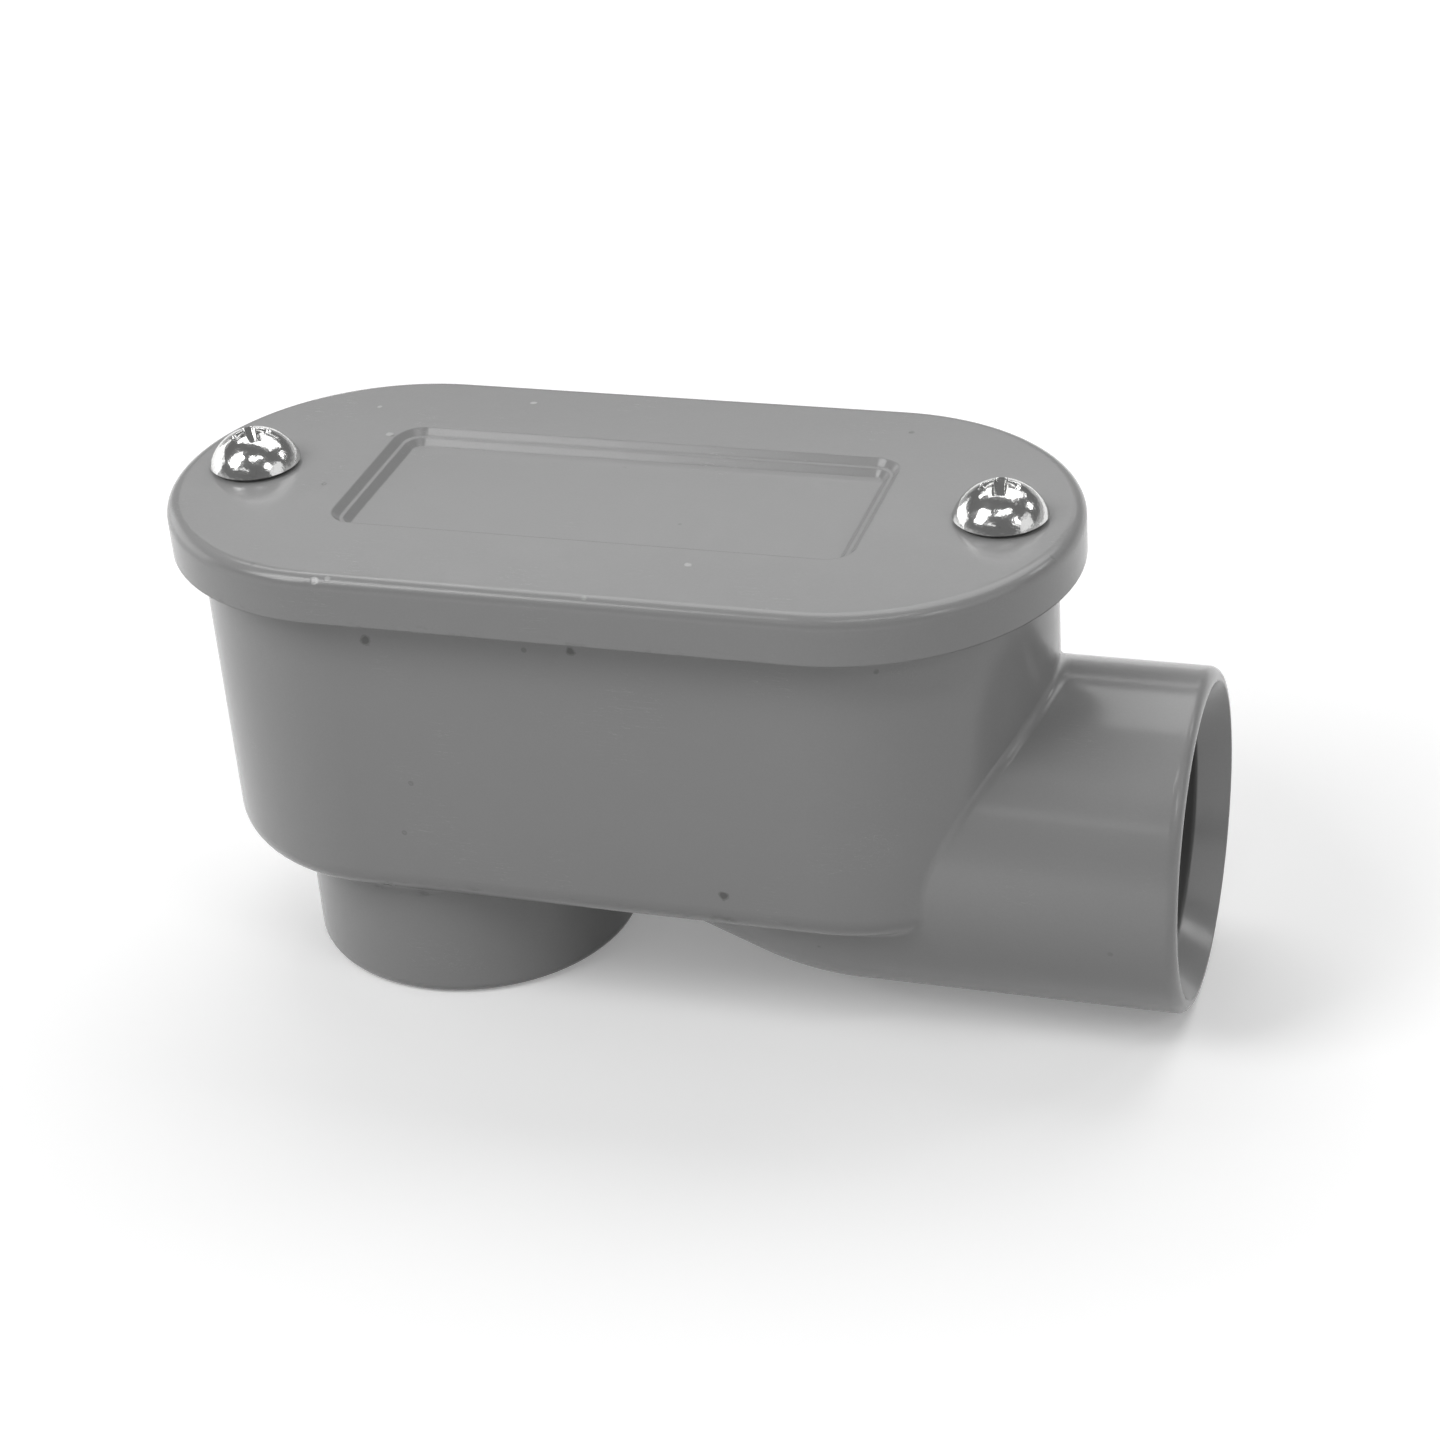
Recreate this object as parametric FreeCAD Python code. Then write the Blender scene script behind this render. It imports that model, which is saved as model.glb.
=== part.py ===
import FreeCAD, Part
import math
import os

# Conduit body: a moulded wiring box with one socket out of its end and one out of its
# back, a gasketed lift-off cover and two screws. All sizes in millimetres.
#
# Frame: the origin is where the axes of the two sockets cross. +X runs out of the end
# socket, -Z out of the back socket, and +Z up to the cover.

Vector = FreeCAD.Vector
X_AXIS = Vector(1, 0, 0)
Y_AXIS = Vector(0, 1, 0)
Z_AXIS = Vector(0, 0, 1)

# Conduit that is glued into both sockets
CONDUIT_DIAMETER = 21.34
SOCKET_CLEARANCE = 0.15
SOCKET_DEPTH = 16.6
LEAD_IN_DEPTH = 2.45
LEAD_IN_WIDTH = 1.8
STOP_LENGTH = 2.0
STOP_WIDTH = 1.8
STOP_EDGE_ROUND = 0.8

# Hubs around the sockets
HUB_WALL = 2.88
HUB_EDGE_ROUND = 0.9
END_HUB_BEYOND_BOX = 11.6
BACK_HUB_TO_BOX_END = 19.2

# Wiring box
BOX_LENGTH = 69.8
BOX_WIDTH = 31.6
BOX_WALL = 2.2
BOX_FLOOR = 2.2
FLOOR_BELOW_AXIS = 3.05
RIM_ABOVE_AXIS = 24.1
FLOOR_EDGE_ROUND = 2.5
CHAMBER_EDGE_ROUND = 1.2
CREASE_ROUND = 0.8

# Belly under the box: the end hub's barrel runs in, then bends up into the floor
BELLY_RUN_IN = 14.6
BELLY_BEND_RADIUS = 10.0
BELLY_TILT = 23.0

# Cover screws and the bosses they cut into
SCREW_TO_BOX_END = 4.05
SCREW_LENGTH = 12.7
SHANK_DIAMETER = 3.9
SHANK_TIP_BEVEL = 0.6
SHANK_CLEARANCE = 0.05
COVER_HOLE_CLEARANCE = 0.3
HEAD_DIAMETER = 7.6
HEAD_HEIGHT = 2.95
BOSS_DIAMETER = 6.8
PILOT_RUN_OUT = 0.7
DRIVE_WIDTH = 1.1
DRIVE_REACH = 2.3
DRIVE_CORE = 0.8
DRIVE_DEPTH = 1.7
DRIVE_TURNS = {"cover_screw_back_end": 38.0, "cover_screw_hub_end": 8.0}

# Cover
COVER_PLATE = 2.2
SKIRT_DROP = 1.75
SKIRT_WALL = 1.9
SKIRT_CLEARANCE = 0.3
COVER_EDGE_ROUND = 1.1

# Two-step panel sunk into the cover
PANEL_TO_SCREW = 9.55
PANEL_TO_BOX_SIDE = 7.1
PANEL_CORNER_ROUND = 2.2
PANEL_STEP = 0.55
PANEL_LEDGE = 0.3

# Gasket between rim and cover
GASKET_THICKNESS = 0.8
GASKET_LIP = 0.6
GASKET_BOSS_MARGIN = 0.3

# Sizes that follow from the ones above
BOX_CENTRE_X = BOX_LENGTH / 2 - BACK_HUB_TO_BOX_END
BOX_END_X = BOX_CENTRE_X + BOX_LENGTH / 2
END_HUB_REACH = BOX_END_X + END_HUB_BEYOND_BOX
BELLY_BEND_START = BOX_END_X - BELLY_RUN_IN
SCREW_SPACING = BOX_LENGTH - 2 * SCREW_TO_BOX_END
PANEL_LENGTH = SCREW_SPACING - 2 * PANEL_TO_SCREW
PANEL_WIDTH = BOX_WIDTH - 2 * PANEL_TO_BOX_SIDE
SOCKET_RADIUS = CONDUIT_DIAMETER / 2 + SOCKET_CLEARANCE
HUB_RADIUS = SOCKET_RADIUS + HUB_WALL
PASSAGE_RADIUS = SOCKET_RADIUS - STOP_WIDTH
BACK_HUB_MOUTH_Z = -HUB_RADIUS
FLOOR_Z = -FLOOR_BELOW_AXIS
CHAMBER_FLOOR_Z = FLOOR_Z + BOX_FLOOR
RIM_Z = RIM_ABOVE_AXIS
PLATE_UNDERSIDE_Z = RIM_Z + GASKET_THICKNESS
COVER_TOP_Z = PLATE_UNDERSIDE_Z + COVER_PLATE
SKIRT_BOTTOM_Z = PLATE_UNDERSIDE_Z - SKIRT_DROP
BACK_SEAT_Z = BACK_HUB_MOUTH_Z + SOCKET_DEPTH + STOP_LENGTH
END_SEAT_X = END_HUB_REACH - SOCKET_DEPTH - STOP_LENGTH
CHAMBER_LENGTH = BOX_LENGTH - 2 * BOX_WALL
CHAMBER_WIDTH = BOX_WIDTH - 2 * BOX_WALL
BOSS_RADIUS = BOSS_DIAMETER / 2
SHANK_RADIUS = SHANK_DIAMETER / 2
PILOT_RADIUS = SHANK_RADIUS + SHANK_CLEARANCE
COVER_HOLE_RADIUS = SHANK_RADIUS + COVER_HOLE_CLEARANCE
SCREW_TIP_Z = COVER_TOP_Z - SCREW_LENGTH
SCREW_X = {
    "cover_screw_back_end": BOX_CENTRE_X - SCREW_SPACING / 2,
    "cover_screw_hub_end": BOX_CENTRE_X + SCREW_SPACING / 2,
}

# Length by which a cutting tool passes the face that it opens
OVERRUN = 1.0


def obround(length, width, z_low, z_high):
    """Upright prism with half-round ends, centred on the box."""
    radius = width / 2
    run = length / 2 - radius
    left = BOX_CENTRE_X - run
    right = BOX_CENTRE_X + run
    near_left = Vector(left, -radius, z_low)
    near_right = Vector(right, -radius, z_low)
    far_right = Vector(right, radius, z_low)
    far_left = Vector(left, radius, z_low)
    edges = [
        Part.LineSegment(near_left, near_right).toShape(),
        Part.Arc(near_right, Vector(right + radius, 0, z_low), far_right).toShape(),
        Part.LineSegment(far_right, far_left).toShape(),
        Part.Arc(far_left, Vector(left - radius, 0, z_low), near_left).toShape(),
    ]
    return Part.Face(Part.Wire(edges)).extrude(Vector(0, 0, z_high - z_low))


def edges_level_at(shape, z):
    """Edges of a shape that lie flat at one height."""
    return [
        edge
        for edge in shape.Edges
        if abs(edge.BoundBox.ZMin - z) < 1e-4 and abs(edge.BoundBox.ZMax - z) < 1e-4
    ]


def edges_square_to_x_at(shape, x):
    """Edges of a shape that lie in one plane square to the X axis."""
    return [
        edge
        for edge in shape.Edges
        if abs(edge.BoundBox.XMin - x) < 1e-4 and abs(edge.BoundBox.XMax - x) < 1e-4
    ]


def revolved(points, axis_start, axis):
    """Solid of revolution whose half-section is a closed run of straight edges."""
    face = Part.Face(Part.makePolygon(points + points[:1]))
    return face.revolve(axis_start, axis, 360)


# ---------------------------------------------------------------- body


def barrel_along_x(radius, x_low, x_high):
    """Round bar on the end socket's axis, with its seam line along the top."""
    barrel = Part.makeCylinder(radius, x_high - x_low, Vector(x_low, 0, 0), X_AXIS)
    barrel.rotate(Vector(0, 0, 0), X_AXIS, 180)
    return barrel


def end_hub():
    """Outside of the end hub, from the belly's bend under the box to its mouth."""
    barrel = barrel_along_x(HUB_RADIUS, BELLY_BEND_START, END_HUB_REACH)
    return barrel.makeFillet(HUB_EDGE_ROUND, edges_square_to_x_at(barrel, END_HUB_REACH))


def belly(radius):
    """Lower half of a bar on the end socket's axis, which bends up through the floor."""
    tilt = math.radians(BELLY_TILT)
    along_ramp = Vector(-math.cos(tilt), 0, math.sin(tilt))
    side = Vector(BELLY_BEND_START, radius, 0)
    bottom = Vector(BELLY_BEND_START, 0, -radius)
    other_side = Vector(BELLY_BEND_START, -radius, 0)
    edges = [
        Part.Arc(side, bottom, other_side).toShape(),
        Part.LineSegment(other_side, side).toShape(),
    ]
    section = Part.Face(Part.Wire(edges))
    bend_centre = Vector(BELLY_BEND_START, 0, BELLY_BEND_RADIUS)
    run = section.extrude(Vector(END_SEAT_X - BELLY_BEND_START, 0, 0))
    bend = section.copy().revolve(bend_centre, Y_AXIS, BELLY_TILT)
    ramp_start = section.copy()
    ramp_start.rotate(bend_centre, Y_AXIS, BELLY_TILT)
    ramp_foot_z = BELLY_BEND_RADIUS - (BELLY_BEND_RADIUS + radius) * math.cos(tilt)
    ramp_length = (CHAMBER_FLOOR_Z - ramp_foot_z) / math.sin(tilt)
    ramp = ramp_start.extrude(along_ramp * ramp_length)
    return run.fuse([bend, ramp]).removeSplitter()


def back_hub():
    """Outside of the back hub, up into the floor of the box."""
    height = CHAMBER_FLOOR_Z - BACK_HUB_MOUTH_Z
    barrel = Part.makeCylinder(HUB_RADIUS, height, Vector(0, 0, BACK_HUB_MOUTH_Z), Z_AXIS)
    return barrel.makeFillet(HUB_EDGE_ROUND, edges_level_at(barrel, BACK_HUB_MOUTH_Z))


def box_shell():
    """Outside of the wiring box, with its rounded floor edge."""
    block = obround(BOX_LENGTH, BOX_WIDTH, FLOOR_Z, RIM_Z)
    return block.makeFillet(FLOOR_EDGE_ROUND, edges_level_at(block, FLOOR_Z))


def boss(x):
    """Round column that a cover screw cuts into, from the chamber floor to the rim."""
    return Part.makeCylinder(
        BOSS_RADIUS, RIM_Z - FLOOR_Z + OVERRUN, Vector(x, 0, FLOOR_Z), Z_AXIS
    )


def back_seat():
    """Raised end of the chamber floor that makes room for the back socket's depth."""
    height = BACK_SEAT_Z - BACK_HUB_MOUTH_Z
    corner = Vector(-BOX_LENGTH, -BOX_WIDTH / 2, BACK_HUB_MOUTH_Z)
    plinth = Part.makeBox(BOX_LENGTH, BOX_WIDTH, height, corner)
    front = Part.makeCylinder(HUB_RADIUS, height, Vector(0, 0, BACK_HUB_MOUTH_Z), Z_AXIS)
    return plinth.fuse(front)


def chamber():
    """Space for the wires, round the bosses and the two socket ends, with the belly."""
    space = obround(CHAMBER_LENGTH, CHAMBER_WIDTH, CHAMBER_FLOOR_Z, RIM_Z + OVERRUN)
    space = space.makeFillet(CHAMBER_EDGE_ROUND, edges_level_at(space, CHAMBER_FLOOR_Z))
    end_seat = barrel_along_x(HUB_RADIUS, END_SEAT_X, END_HUB_REACH)
    space = space.cut([end_seat, back_seat()] + [boss(x) for x in SCREW_X.values()])
    trough = belly(HUB_RADIUS - BOX_WALL).cut(back_seat())
    return space.fuse(trough)


def socket_tool():
    """Bore of one socket about the Z axis: mouth at z = 0, stop and passage above it."""
    mouth_radius = SOCKET_RADIUS + LEAD_IN_WIDTH
    stop_end = SOCKET_DEPTH + STOP_LENGTH
    flare = PASSAGE_RADIUS + STOP_EDGE_ROUND
    bend = STOP_EDGE_ROUND * (1 - math.sqrt(0.5))
    outline = [
        Vector(0, 0, -OVERRUN),
        Vector(mouth_radius, 0, -OVERRUN),
        Vector(mouth_radius, 0, 0),
        Vector(SOCKET_RADIUS, 0, LEAD_IN_DEPTH),
        Vector(SOCKET_RADIUS, 0, SOCKET_DEPTH),
        Vector(PASSAGE_RADIUS, 0, SOCKET_DEPTH),
        Vector(PASSAGE_RADIUS, 0, stop_end - STOP_EDGE_ROUND),
    ]
    arc_middle = Vector(PASSAGE_RADIUS + bend, 0, stop_end - bend)
    flare_end = Vector(flare, 0, stop_end)
    closing = [
        flare_end,
        Vector(flare, 0, stop_end + OVERRUN),
        Vector(0, 0, stop_end + OVERRUN),
        outline[0],
    ]
    edges = [
        Part.makePolygon(outline),
        Part.Arc(outline[-1], arc_middle, flare_end).toShape(),
        Part.makePolygon(closing),
    ]
    return Part.Face(Part.Wire(edges)).revolve(Vector(0, 0, 0), Z_AXIS, 360)


def edges_on(shape, lines):
    """Edges of a shape whose middle lies on one of the given lines."""
    found = []
    for edge in shape.Edges:
        middle = edge.valueAt((edge.FirstParameter + edge.LastParameter) / 2)
        if Part.Vertex(middle).distToShape(lines)[0] < 1e-3:
            found.append(edge)
    return found


def outside():
    """Box and hubs as one solid, with its open creases rounded."""
    box = box_shell()
    end = end_hub()
    back = back_hub()
    box_and_end = box.fuse(end).removeSplitter()
    end_crease = [
        edge
        for edge in edges_on(box_and_end, box.section(end))
        if edge.BoundBox.ZMax > PASSAGE_RADIUS
    ]
    creased = box_and_end.makeFillet(CREASE_ROUND, end_crease)
    back_and_belly = back.fuse(belly(HUB_RADIUS)).removeSplitter()
    joined = creased.fuse(back_and_belly).removeSplitter()
    back_crease = edges_on(joined, creased.section(back))
    return joined.makeFillet(CREASE_ROUND, back_crease)


def body():
    """One-piece moulded box with both hubs, its chamber, sockets and pilot holes."""
    back_socket = socket_tool()
    back_socket.translate(Vector(0, 0, BACK_HUB_MOUTH_Z))
    end_socket = socket_tool()
    end_socket.rotate(Vector(0, 0, 0), Y_AXIS, -90)
    end_socket.translate(Vector(END_HUB_REACH, 0, 0))
    pilots = [
        Part.makeCylinder(
            PILOT_RADIUS,
            RIM_Z - SCREW_TIP_Z + PILOT_RUN_OUT + OVERRUN,
            Vector(x, 0, SCREW_TIP_Z - PILOT_RUN_OUT),
            Z_AXIS,
        )
        for x in SCREW_X.values()
    ]
    return outside().cut([chamber(), back_socket, end_socket] + pilots)


# ---------------------------------------------------------------- cover and gasket


def screw_holes(radius, z_low, z_high):
    """One clearance hole at each cover screw."""
    return [
        Part.makeCylinder(
            radius, z_high - z_low + 2 * OVERRUN, Vector(x, 0, z_low - OVERRUN), Z_AXIS
        )
        for x in SCREW_X.values()
    ]


def panel_outline(inset, z):
    """Rounded rectangle of the panel, set in from its outer border."""
    half_x = PANEL_LENGTH / 2 - inset
    half_y = PANEL_WIDTH / 2 - inset
    round_off = PANEL_CORNER_ROUND - inset
    plate = Part.makeBox(
        2 * half_x,
        2 * half_y,
        OVERRUN,
        Vector(BOX_CENTRE_X - half_x, -half_y, z),
    )
    upright = [edge for edge in plate.Edges if edge.BoundBox.ZLength > OVERRUN / 2]
    plate = plate.makeFillet(round_off, upright)
    bottom = min(plate.Faces, key=lambda face: face.CenterOfMass.z)
    return bottom.OuterWire


def panel_step(inset, z_top):
    """One step of the panel, with sides that slope in as they go down."""
    top = panel_outline(inset, z_top)
    foot = panel_outline(inset + PANEL_STEP, z_top - PANEL_STEP)
    return Part.makeLoft([top, foot], True, True)


def cover():
    """Plate with a skirt over the rim, a rounded edge, a sunk panel and screw holes."""
    overhang = SKIRT_CLEARANCE + SKIRT_WALL
    plate = obround(
        BOX_LENGTH + 2 * overhang, BOX_WIDTH + 2 * overhang, SKIRT_BOTTOM_Z, COVER_TOP_Z
    )
    plate = plate.makeFillet(COVER_EDGE_ROUND, edges_level_at(plate, COVER_TOP_Z))
    inside = obround(
        BOX_LENGTH + 2 * SKIRT_CLEARANCE,
        BOX_WIDTH + 2 * SKIRT_CLEARANCE,
        SKIRT_BOTTOM_Z - OVERRUN,
        PLATE_UNDERSIDE_Z,
    )
    steps = [
        panel_step(0, COVER_TOP_Z),
        panel_step(PANEL_STEP + PANEL_LEDGE, COVER_TOP_Z - PANEL_STEP),
    ]
    holes = screw_holes(COVER_HOLE_RADIUS, PLATE_UNDERSIDE_Z, COVER_TOP_Z)
    return plate.cut([inside] + steps + holes)


def cover_gasket():
    """Flat ring on the rim and the boss tops, open over the chamber."""
    ring = obround(BOX_LENGTH, BOX_WIDTH, RIM_Z, PLATE_UNDERSIDE_Z)
    opening = obround(
        SCREW_SPACING - BOSS_DIAMETER - 2 * GASKET_BOSS_MARGIN,
        CHAMBER_WIDTH - 2 * GASKET_LIP,
        RIM_Z - OVERRUN,
        PLATE_UNDERSIDE_Z + OVERRUN,
    )
    return ring.cut([opening] + screw_holes(COVER_HOLE_RADIUS, RIM_Z, PLATE_UNDERSIDE_Z))


# ---------------------------------------------------------------- screws


def drive_slot():
    """One wing pair of the cross recess: a slot that narrows towards its foot."""
    top = HEAD_HEIGHT + OVERRUN
    foot = HEAD_HEIGHT - DRIVE_DEPTH
    outline = [
        Vector(-DRIVE_REACH, -DRIVE_WIDTH / 2, top),
        Vector(DRIVE_REACH, -DRIVE_WIDTH / 2, top),
        Vector(DRIVE_REACH, -DRIVE_WIDTH / 2, HEAD_HEIGHT),
        Vector(DRIVE_CORE, -DRIVE_WIDTH / 2, foot),
        Vector(-DRIVE_CORE, -DRIVE_WIDTH / 2, foot),
        Vector(-DRIVE_REACH, -DRIVE_WIDTH / 2, HEAD_HEIGHT),
    ]
    face = Part.Face(Part.makePolygon(outline + outline[:1]))
    return face.extrude(Vector(0, DRIVE_WIDTH, 0))


def cover_screw(x, turn):
    """Round-head screw with a cross recess, seated on the cover."""
    radius = HEAD_DIAMETER / 2
    dome_radius = (radius ** 2 + HEAD_HEIGHT ** 2) / (2 * HEAD_HEIGHT)
    ball = Part.makeSphere(dome_radius, Vector(0, 0, HEAD_HEIGHT - dome_radius))
    head = ball.common(Part.makeCylinder(2 * radius, HEAD_HEIGHT + OVERRUN))
    shank = revolved(
        [
            Vector(0, 0, HEAD_HEIGHT / 2),
            Vector(SHANK_RADIUS, 0, HEAD_HEIGHT / 2),
            Vector(SHANK_RADIUS, 0, SHANK_TIP_BEVEL - SCREW_LENGTH),
            Vector(SHANK_RADIUS - SHANK_TIP_BEVEL, 0, -SCREW_LENGTH),
            Vector(0, 0, -SCREW_LENGTH),
        ],
        Vector(0, 0, 0),
        Z_AXIS,
    )
    across = drive_slot()
    across.rotate(Vector(0, 0, 0), Z_AXIS, 90)
    screw = shank.fuse(head).removeSplitter().cut([drive_slot(), across])
    screw.rotate(Vector(0, 0, 0), Z_AXIS, turn)
    screw.translate(Vector(x, 0, COVER_TOP_Z))
    return screw


def main():
    """Builds every piece and writes one STEP file for each."""
    pieces = {"body": body(), "cover": cover(), "cover_gasket": cover_gasket()}
    for name, x in SCREW_X.items():
        pieces[name] = cover_screw(x, DRIVE_TURNS[name])
    os.makedirs("parts", exist_ok=True)
    for name, shape in pieces.items():
        print(name, len(shape.Solids), "solid(s),", "valid" if shape.isValid() else "NOT VALID",
              round(shape.Volume, 1), "mm3")
        shape.exportStep(f"parts/{name}.step")


main()
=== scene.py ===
"""Looks of a moulded conduit body: plastic, gasket, plated cover screws, light and camera."""

import logging
import math
from dataclasses import dataclass
from enum import Enum
from typing import Any, Mapping, Optional, Sequence, Union

import bmesh
import bpy
from mathutils import Matrix, Vector


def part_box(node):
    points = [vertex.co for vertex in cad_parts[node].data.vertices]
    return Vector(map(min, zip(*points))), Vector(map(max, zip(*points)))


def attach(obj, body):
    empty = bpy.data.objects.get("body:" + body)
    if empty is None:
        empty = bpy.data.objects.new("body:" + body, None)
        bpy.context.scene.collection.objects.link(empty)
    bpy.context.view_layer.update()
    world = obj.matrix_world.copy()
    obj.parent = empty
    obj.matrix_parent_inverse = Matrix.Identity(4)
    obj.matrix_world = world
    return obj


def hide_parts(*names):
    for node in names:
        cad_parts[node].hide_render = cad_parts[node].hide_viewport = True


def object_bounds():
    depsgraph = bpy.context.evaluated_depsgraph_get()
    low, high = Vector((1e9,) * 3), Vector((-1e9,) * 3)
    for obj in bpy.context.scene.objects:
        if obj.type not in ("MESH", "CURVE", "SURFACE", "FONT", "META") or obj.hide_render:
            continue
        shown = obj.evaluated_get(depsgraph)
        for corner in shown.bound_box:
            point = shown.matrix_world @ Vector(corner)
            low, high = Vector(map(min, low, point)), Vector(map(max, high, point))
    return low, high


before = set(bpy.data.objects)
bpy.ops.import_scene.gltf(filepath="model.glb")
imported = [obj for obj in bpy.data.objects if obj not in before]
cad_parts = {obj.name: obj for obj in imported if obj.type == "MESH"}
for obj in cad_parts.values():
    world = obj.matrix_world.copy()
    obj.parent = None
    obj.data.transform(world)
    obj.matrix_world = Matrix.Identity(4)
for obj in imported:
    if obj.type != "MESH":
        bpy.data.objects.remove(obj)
CAD_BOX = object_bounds()

LOG = logging.getLogger("conduit_body")
MM = 0.001
MM_IN_METRE = 1000.0
Colour = tuple[float, float, float]
Point = tuple[float, float, float]
Span = tuple[float, float]
UNSTRETCHED: Point = (1.0, 1.0, 1.0)
WHITE = (1.0, 1.0, 1.0, 1.0)
NOISE_MIDDLE = 0.5
BEVEL_SAMPLES = 6


class ScrewPlace(Enum):
    """Cover screws: the body each rides on, the node it stands for, and its stop in degrees."""

    BACK_END = ("back_end_screw", "cover_screw_back_end", 38.0)
    HUB_END = ("hub_end_screw", "cover_screw_hub_end", 8.0)


# ---------------------------------------------------------------- node graphs


class Wire:
    """One output socket that can be used in Python expressions."""

    def __init__(self, graph: "Graph", socket: bpy.types.NodeSocket) -> None:
        """Wraps a socket.

        Args:
            graph: the graph that the socket's node belongs to.
            socket: the output socket.
        """
        self.graph = graph
        self.socket = socket

    def _math(self, operation: str, first: "Operand", second: "Operand") -> "Wire":
        """Adds one Math node.

        Args:
            operation: name of the Math operation.
            first: left operand.
            second: right operand.

        Returns:
            The node's result.
        """
        values = {0: first, 1: second}
        return self.graph.node("ShaderNodeMath", {"operation": operation}, values)

    def __add__(self, other: "Operand") -> "Wire":
        """Sum."""
        return self._math("ADD", self, other)

    __radd__ = __add__

    def __sub__(self, other: "Operand") -> "Wire":
        """Difference."""
        return self._math("SUBTRACT", self, other)

    def __rsub__(self, other: "Operand") -> "Wire":
        """Difference from a number."""
        return self._math("SUBTRACT", other, self)

    def __mul__(self, other: "Operand") -> "Wire":
        """Product."""
        return self._math("MULTIPLY", self, other)

    def at_least(self, other: "Operand") -> "Wire":
        """Larger of the two."""
        return self._math("MAXIMUM", self, other)

    def rise(self, low: float, high: float) -> "Wire":
        """Smooth step that goes from 0 at low to 1 at high.

        Args:
            low: value at which the step starts.
            high: value at which it is complete, lower than low for a fall.

        Returns:
            The step, from 0 to 1.
        """
        settings = {"interpolation_type": "SMOOTHSTEP"}
        values = {"Value": self, "From Min": low, "From Max": high}
        return self.graph.node("ShaderNodeMapRange", settings, values)

    def band(self, low: float, high: float, soft: float) -> "Wire":
        """1 between two values and 0 outside them.

        Args:
            low: lower limit.
            high: upper limit.
            soft: half the width of the blend at each limit.

        Returns:
            The band's mask.
        """
        return self.rise(low - soft, low + soft) * self.rise(high + soft, high - soft)


Operand = Union[Wire, float]


class Graph:
    """Node tree, with one method that adds any node."""

    def __init__(self, tree: bpy.types.NodeTree) -> None:
        """Takes over an empty tree.

        Args:
            tree: the tree that nodes are added to.
        """
        self.tree = tree

    def node(
        self,
        kind: str,
        settings: Optional[Mapping[str, Any]] = None,
        values: Optional[Mapping[Union[int, str], Any]] = None,
        output: Union[int, str] = 0,
    ) -> Wire:
        """Adds a node, with its settings first and then its sockets.

        Args:
            kind: type name of the node.
            settings: attributes of the node.
            values: number, colour or Wire of each input socket, by name or place.
            output: output socket to return, by name or place.

        Returns:
            The chosen output.
        """
        made = self.tree.nodes.new(kind)
        for name, value in (settings or {}).items():
            setattr(made, name, value)
        for name, value in (values or {}).items():
            socket = made.inputs[name]
            if isinstance(value, Wire):
                self.tree.links.new(value.socket, socket)
            else:
                socket.default_value = value
        return Wire(self, made.outputs[output])


@dataclass(frozen=True)
class Noise:
    """Scale and layers of a soft noise.

    Attributes:
        per_mm: cells to the millimetre.
        detail: number of finer layers.
        rough: weight of the finer layers.
        stretch: factor on each coordinate, below 1 where the noise is drawn out.
    """

    per_mm: float
    detail: float = 2.0
    rough: float = 0.5
    stretch: Point = UNSTRETCHED


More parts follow.
